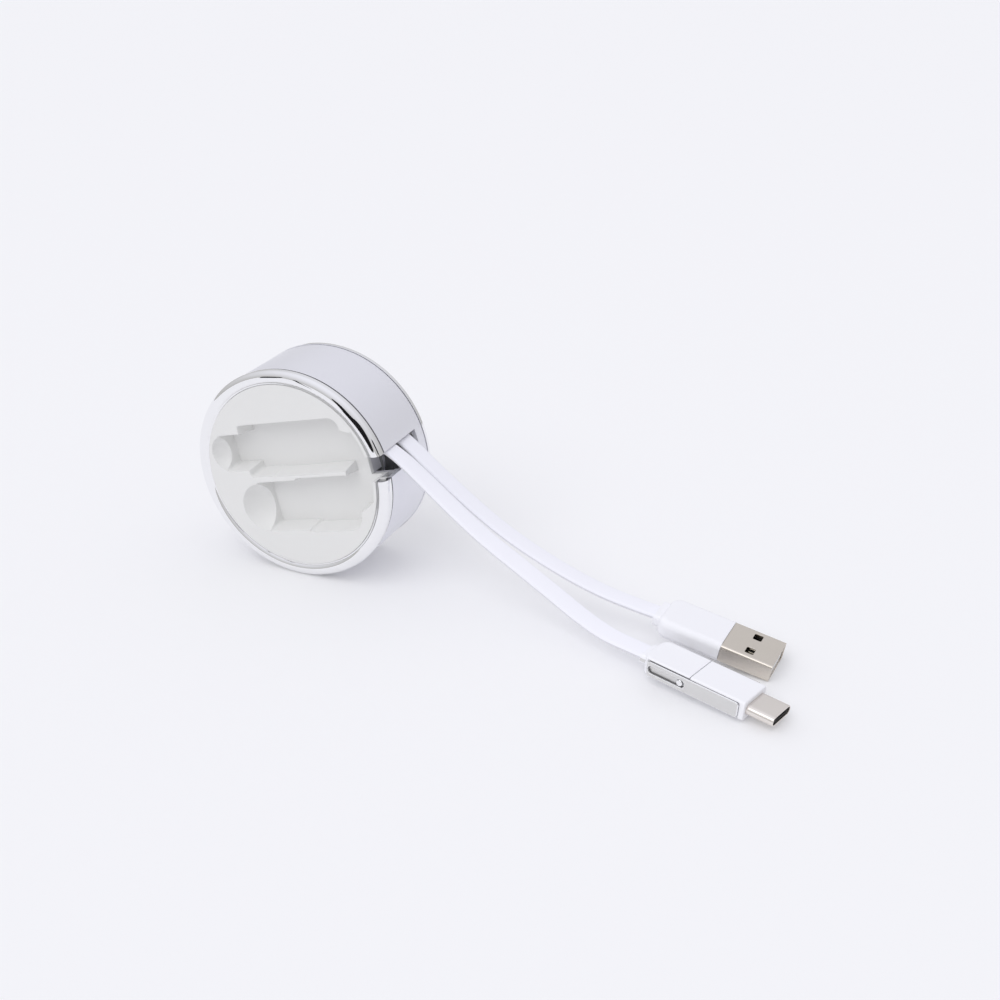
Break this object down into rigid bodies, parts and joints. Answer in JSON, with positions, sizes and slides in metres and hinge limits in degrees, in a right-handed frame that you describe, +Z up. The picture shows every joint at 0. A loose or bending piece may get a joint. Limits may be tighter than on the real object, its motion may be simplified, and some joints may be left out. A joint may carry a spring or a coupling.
{
  "type": "retractable charging cable",
  "caption": "Round reel case on its rim with plug nests in its face, a sprung reel and stop ball inside, and flat ribbons out to a type A plug and a two-in-one plug with a sliding cap.",
  "frame": {"origin": "floor level, under the centre of the reel case, which stands on its rim", "axes": "+Z up, -Y is the way the nest face looks, +X is the side where the ribbons leave"},
  "size_m": [0.1633, 0.0433, 0.057],
  "materials": {
    "chrome_trim": "polished",
    "white_panel": "matte",
    "satin_silver": "satin",
    "pale_grey": "matte",
    "mid_grey": "matte",
    "ribbon_white": "smooth",
    "spring_steel": "satin",
    "polished_steel": "polished",
    "white_grip": "matte",
    "nickel": "polished",
    "black_insulator": "matte",
    "white_insulator": "matte",
    "gold_contact": "polished"
  },
  "bodies": {
    "case": {"front_ring": "chrome_trim", "nest_panel": "white_panel", "drum_wall": "satin_silver", "divider_plate": "pale_grey", "back_cover": "white_panel", "back_ring": "chrome_trim", "spiral_spring": "spring_steel", "spindle_washer": "spring_steel", "spindle_screw": "spring_steel", "ribbon_a": "ribbon_white", "ribbon_c": "ribbon_white", "plug_a_grip": "white_grip", "plug_a_shell": "nickel", "plug_a_tongue": "white_insulator", "plug_a_contacts": "gold_contact", "tip_grip": "white_grip", "tip_shell": "nickel", "tip_tongue": "black_insulator", "link_pins": "chrome_trim"},
    "reel": {"spool": "mid_grey", "ribbon_winding": "ribbon_white", "spring_cover": "mid_grey"},
    "ball": {"stop_ball": "polished_steel"},
    "cap": {"cap_body": "white_grip", "cap_shell": "nickel", "cap_core": "black_insulator", "link_near": "chrome_trim", "link_far": "chrome_trim"}
  },
  "joints": [
    {"name": "reel_spin", "type": "hinge", "parent": "case", "child": "reel", "pos_m": [0, 0, 0.0285], "axis": [0, 1, 0], "range_deg": [-190, 960]},
    {"name": "ball_slide", "type": "slide", "parent": "case", "child": "ball", "axis": [0, 0, 1], "range_m": [0, 0.004]},
    {"name": "cap_slide", "type": "slide", "parent": "case", "child": "cap", "axis": [0.9642, -0.2584, -0.0593], "range_m": [0, 0.0075]}
  ]
}
